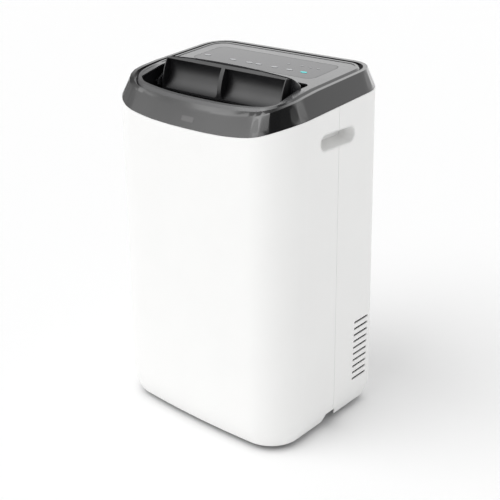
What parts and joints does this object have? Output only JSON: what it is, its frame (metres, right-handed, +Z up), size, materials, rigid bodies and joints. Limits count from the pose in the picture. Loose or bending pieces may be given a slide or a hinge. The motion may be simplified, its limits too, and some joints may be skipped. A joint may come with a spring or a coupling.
{
  "type": "portable air conditioner",
  "caption": "Tall rounded portable air conditioner with a scoop lid over its top outlet, touch panel, side grips, rear intakes, exhaust collar and casters.",
  "frame": {"origin": "on the floor under the middle of the casing", "axes": "+Z up, -Y towards the front, +X towards the right-hand side seen from the front"},
  "size_m": [0.436, 0.332, 0.7266],
  "materials": {
    "white_shell": "fine moulded satin",
    "black_gloss": "high gloss",
    "panel_glass": "high gloss",
    "deck_black": "semi gloss",
    "key_print": "printed",
    "power_print": "printed",
    "light_print": "printed",
    "receiver_window": "smoked",
    "satin_black": "satin",
    "grille_grey": "satin",
    "pin_plastic": "smooth",
    "motor_metal": "drawn",
    "foam_grey": "moulded foam",
    "fan_black": "moulded",
    "coil_fins": "rolled",
    "tray_white": "moulded",
    "compressor_black": "painted",
    "grommet_rubber": "matt",
    "copper_pipe": "drawn copper",
    "zinc_sheet": "galvanised",
    "circuit_board": "lacquered",
    "filter_grey": "woven mesh",
    "drain_white": "moulded",
    "plug_rubber": "matt",
    "screw_steel": "zinc plated",
    "caster_plastic": "moulded"
  },
  "bodies": {
    "casing": {"front_shell": "white_shell", "rear_shell": "white_shell", "top_rim": "black_gloss", "deck_frame": "deck_black", "control_panel": "panel_glass", "touch_keys": "key_print", "power_key": "power_print", "indicator_lights": "light_print", "ir_window": "receiver_window", "grip_cup_left": "white_shell", "grip_cup_right": "white_shell", "outlet_well": "satin_black", "outlet_duct": "foam_grey", "outlet_grille_left": "grille_grey", "outlet_grille_right": "grille_grey", "lid_motor": "motor_metal", "upper_blower_housing": "foam_grey", "upper_blower_motor": "motor_metal", "lower_blower_housing": "foam_grey", "lower_blower_motor": "motor_metal", "exhaust_duct": "foam_grey", "exhaust_collar": "white_shell", "evaporator_coil": "coil_fins", "condenser_coil": "coil_fins", "drip_tray": "tray_white", "compressor": "compressor_black", "accumulator": "compressor_black", "compressor_feet": "grommet_rubber", "refrigerant_pipes": "copper_pipe", "control_box": "zinc_sheet", "main_board": "circuit_board", "run_capacitor": "zinc_sheet", "display_board": "circuit_board", "splash_motor": "motor_metal", "drain_spigots": "drain_white", "cord_inlet": "plug_rubber", "base_pan": "zinc_sheet", "pan_screws": "screw_steel"},
    "lid": {"lid_skin": "deck_black", "lid_liner": "satin_black", "lid_pins": "pin_plastic"},
    "upper_wheel": {"upper_blower_wheel": "fan_black"},
    "lower_wheel": {"lower_blower_wheel": "fan_black"},
    "slinger": {"slinger_wheel": "fan_black"},
    "upper_cassette": {"upper_intake_grille": "white_shell", "upper_filter": "filter_grey"},
    "lower_cassette": {"lower_intake_grille": "white_shell", "lower_filter": "filter_grey"},
    "upper_plug": {"drain_plug_upper": "plug_rubber"},
    "lower_plug": {"drain_plug_lower": "plug_rubber"},
    "swivel_front_left": {"caster_fork_front_left": "caster_plastic"},
    "roller_front_left": {"caster_wheel_front_left": "caster_plastic"},
    "swivel_front_right": {"caster_fork_front_right": "caster_plastic"},
    "roller_front_right": {"caster_wheel_front_right": "caster_plastic"},
    "swivel_rear_left": {"caster_fork_rear_left": "caster_plastic"},
    "roller_rear_left": {"caster_wheel_rear_left": "caster_plastic"},
    "swivel_rear_right": {"caster_fork_rear_right": "caster_plastic"},
    "roller_rear_right": {"caster_wheel_rear_right": "caster_plastic"}
  },
  "joints": [
    {"name": "lid_tilt", "type": "hinge", "parent": "casing", "child": "lid", "pos_m": [0, -0.0671, 0.6705], "axis": [1, 0, 0], "range_deg": [0, 103]},
    {"name": "upper_wheel_spin", "type": "hinge", "parent": "casing", "child": "upper_wheel", "pos_m": [0, -0.09, 0.47], "axis": [0, 1, 0], "continuous": true},
    {"name": "lower_wheel_spin", "type": "hinge", "parent": "casing", "child": "lower_wheel", "pos_m": [0.062, 0.017, 0.205], "axis": [0, 1, 0], "continuous": true},
    {"name": "slinger_spin", "type": "hinge", "parent": "casing", "child": "slinger", "pos_m": [-0.02, 0.091, 0.073], "axis": [0, 1, 0], "continuous": true},
    {"name": "upper_cassette_pull", "type": "slide", "parent": "casing", "child": "upper_cassette", "axis": [0, 1, 0], "range_m": [0, 0.12]},
    {"name": "lower_cassette_pull", "type": "slide", "parent": "casing", "child": "lower_cassette", "axis": [0, 1, 0], "range_m": [0, 0.12]},
    {"name": "upper_plug_pull", "type": "slide", "parent": "casing", "child": "upper_plug", "axis": [0, 1, 0], "range_m": [0, 0.03]},
    {"name": "lower_plug_pull", "type": "slide", "parent": "casing", "child": "lower_plug", "axis": [0, 1, 0], "range_m": [0, 0.03]},
    {"name": "swivel_front_left", "type": "hinge", "parent": "casing", "child": "swivel_front_left", "pos_m": [-0.158, -0.098, 0.05], "axis": [0, 0, 1], "continuous": true},
    {"name": "roll_front_left", "type": "hinge", "parent": "swivel_front_left", "child": "roller_front_left", "pos_m": [-0.158, -0.086, 0.018], "axis": [1, 0, 0], "continuous": true},
    {"name": "swivel_front_right", "type": "hinge", "parent": "casing", "child": "swivel_front_right", "pos_m": [0.158, -0.098, 0.05], "axis": [0, 0, 1], "continuous": true},
    {"name": "roll_front_right", "type": "hinge", "parent": "swivel_front_right", "child": "roller_front_right", "pos_m": [0.158, -0.086, 0.018], "axis": [1, 0, 0], "continuous": true},
    {"name": "swivel_rear_left", "type": "hinge", "parent": "casing", "child": "swivel_rear_left", "pos_m": [-0.158, 0.104, 0.05], "axis": [0, 0, 1], "continuous": true},
    {"name": "roll_rear_left", "type": "hinge", "parent": "swivel_rear_left", "child": "roller_rear_left", "pos_m": [-0.158, 0.116, 0.018], "axis": [1, 0, 0], "continuous": true},
    {"name": "swivel_rear_right", "type": "hinge", "parent": "casing", "child": "swivel_rear_right", "pos_m": [0.158, 0.104, 0.05], "axis": [0, 0, 1], "continuous": true},
    {"name": "roll_rear_right", "type": "hinge", "parent": "swivel_rear_right", "child": "roller_rear_right", "pos_m": [0.158, 0.116, 0.018], "axis": [1, 0, 0], "continuous": true}
  ]
}
